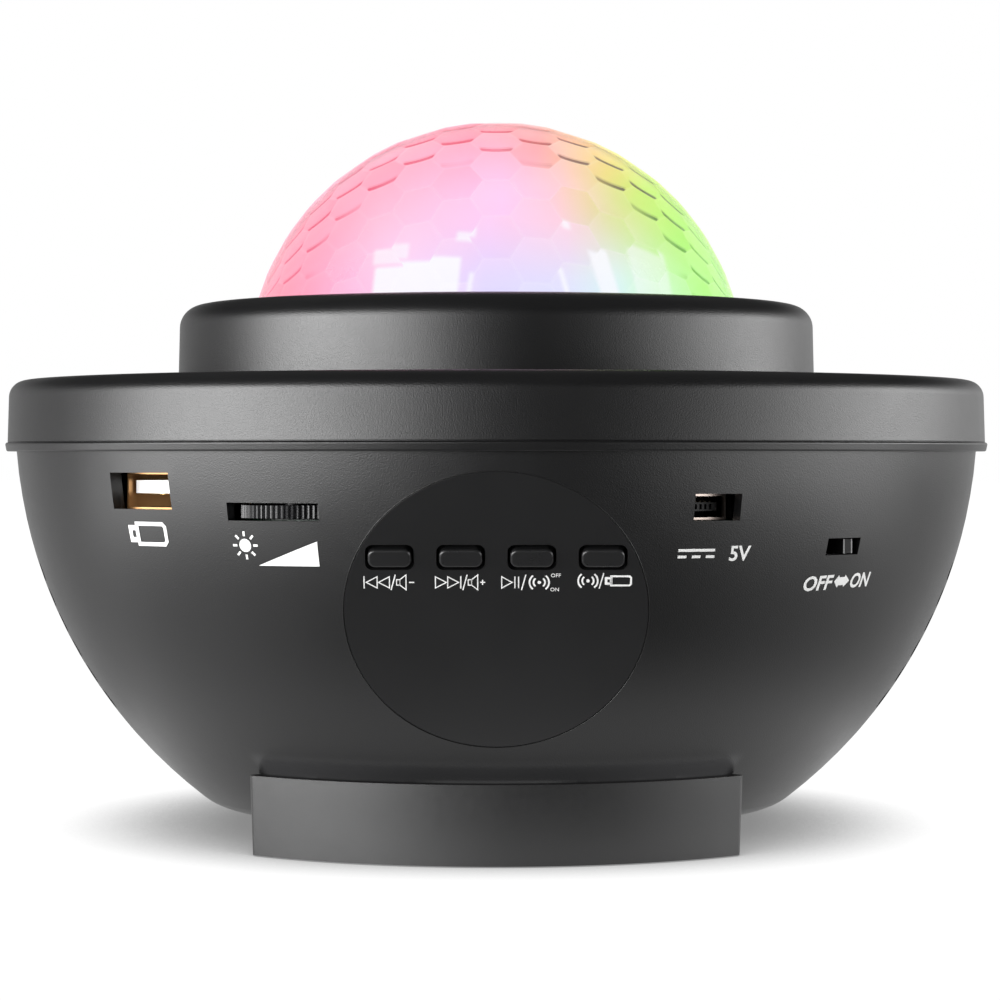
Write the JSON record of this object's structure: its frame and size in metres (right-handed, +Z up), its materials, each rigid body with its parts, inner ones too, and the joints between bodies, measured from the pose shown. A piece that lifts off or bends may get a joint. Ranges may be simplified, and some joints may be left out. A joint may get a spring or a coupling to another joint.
{
  "type": "star night light projector",
  "caption": "Tabletop star projector night light: black bowl case on a curved stand, clear faceted dome, round key panel, side sound holes and front sockets.",
  "frame": {"origin": "centre of the bounding box's base, on the table under the stand, on the case's round axis", "axes": "+Z up along the case's round axis, -Y out of the front with the key panel, +X to the right seen from the front"},
  "size_m": [0.1678, 0.1678, 0.1205],
  "materials": {
    "case_black": "fine sand-blasted grain, satin",
    "stand_black": "smooth satin",
    "panel_black": "smooth satin",
    "button_black": "semi-gloss",
    "wheel_black": "smooth",
    "pad_rubber": "soft rubber",
    "chassis_plastic": "moulded",
    "dome_clear": "clear moulded lens with hexagonal facets inside",
    "lens_frosted": "clear rippled plastic",
    "cup_white": "white reflector",
    "gear_white": "acetal",
    "led_yellow": "phosphor lens",
    "laser_brass": "turned brass",
    "screw_steel": "zinc plated",
    "motor_steel": "plated can",
    "board_green": "solder mask",
    "chip_black": "moulded",
    "capacitor_sleeve": "shrunk sleeve",
    "connector_white": "moulded",
    "switch_body": "moulded",
    "shell_nickel": "nickel plated sheet",
    "plain_white": "moulded",
    "tongue_black": "moulded",
    "contact_gold": "gold plated",
    "speaker_frame": "pressed steel, painted",
    "magnet_dark": "ferrite",
    "surround_rubber": "soft rubber",
    "cone_paper": "pressed paper"
  },
  "bodies": {
    "root": {"lower_case": "case_black", "upper_case": "case_black", "stand": "stand_black", "stand_pads": "pad_rubber", "stand_screws": "screw_steel", "case_screws": "screw_steel", "chassis": "chassis_plastic", "chassis_screws": "screw_steel", "dome_lens": "dome_clear", "lens_retainer": "chassis_plastic", "lens_retainer_screws": "screw_steel", "button_panel": "panel_black", "key_board": "board_green", "key_board_screws": "screw_steel", "key_switches": "switch_body", "main_board": "board_green", "board_screws": "screw_steel", "chips": "chip_black", "capacitors": "capacitor_sleeve", "board_connectors": "connector_white", "usb_socket_shell": "shell_nickel", "usb_socket_tongue": "plain_white", "usb_socket_contacts": "contact_gold", "power_socket_shell": "shell_nickel", "power_socket_tongue": "tongue_black", "power_socket_contacts": "contact_gold", "dimmer_base": "switch_body", "power_switch_body": "switch_body", "led_board": "board_green", "leds": "led_yellow", "led_cup": "cup_white", "laser_module": "laser_brass", "motor": "motor_steel", "motor_screws": "screw_steel", "speaker_screws": "screw_steel", "right_speaker_frame": "speaker_frame", "right_speaker_magnet": "magnet_dark", "right_speaker_surround": "surround_rubber", "left_speaker_frame": "speaker_frame", "left_speaker_magnet": "magnet_dark", "left_speaker_surround": "surround_rubber"},
    "lens_drive": {"ring_gear": "gear_white", "ripple_lens": "lens_frosted", "star_grating": "lens_frosted"},
    "motor_drive": {"drive_pinion": "gear_white", "motor_shaft": "screw_steel"},
    "brightness_wheel": {"dimmer_wheel": "wheel_black"},
    "power_lever": {"power_switch_lever": "wheel_black"},
    "left_cone": {"left_speaker_cone": "cone_paper"},
    "right_cone": {"right_speaker_cone": "cone_paper"},
    "previous_key": {"button_previous": "button_black", "plunger_previous": "tongue_black"},
    "next_key": {"button_next": "button_black", "plunger_next": "tongue_black"},
    "play_key": {"button_play": "button_black", "plunger_play": "tongue_black"},
    "source_key": {"button_source": "button_black", "plunger_source": "tongue_black"}
  },
  "joints": [
    {"name": "press_previous", "type": "slide", "parent": "root", "child": "previous_key", "axis": [0, 0.9234, 0.3838], "range_m": [0, 0.0004], "stiffness_N_per_m": 800, "springref_m": -0.0004},
    {"name": "press_next", "type": "slide", "parent": "root", "child": "next_key", "axis": [0, 0.9234, 0.3838], "range_m": [0, 0.0004], "stiffness_N_per_m": 800, "springref_m": -0.0004},
    {"name": "press_play", "type": "slide", "parent": "root", "child": "play_key", "axis": [0, 0.9234, 0.3838], "range_m": [0, 0.0004], "stiffness_N_per_m": 800, "springref_m": -0.0004},
    {"name": "press_source", "type": "slide", "parent": "root", "child": "source_key", "axis": [0, 0.9234, 0.3838], "range_m": [0, 0.0004], "stiffness_N_per_m": 800, "springref_m": -0.0004},
    {"name": "turn_brightness", "type": "hinge", "parent": "root", "child": "brightness_wheel", "pos_m": [-0.03044, -0.0671, 0.05455], "axis": [0, 0, 1], "range_deg": [-135, 135]},
    {"name": "slide_power", "type": "slide", "parent": "root", "child": "power_lever", "axis": [0.7431, 0.6691, 0], "range_m": [-0.0028, 0]},
    {"name": "spin_lens", "type": "hinge", "parent": "root", "child": "lens_drive", "pos_m": [0, 0, 0.068], "axis": [0, 0, 1], "continuous": true},
    {"name": "spin_motor", "type": "hinge", "parent": "root", "child": "motor_drive", "pos_m": [0, 0.042, 0.068], "axis": [0, 0, 1], "continuous": true},
    {"name": "left_cone_stroke", "type": "slide", "parent": "root", "child": "left_cone", "axis": [-1, 0, 0], "range_m": [-0.0004, 0.0004], "stiffness_N_per_m": 600},
    {"name": "right_cone_stroke", "type": "slide", "parent": "root", "child": "right_cone", "axis": [1, 0, 0], "range_m": [-0.0004, 0.0004], "stiffness_N_per_m": 600}
  ],
  "couplings": [
    {"joint": "spin_motor", "follows": "spin_lens", "ratio": -6}
  ]
}
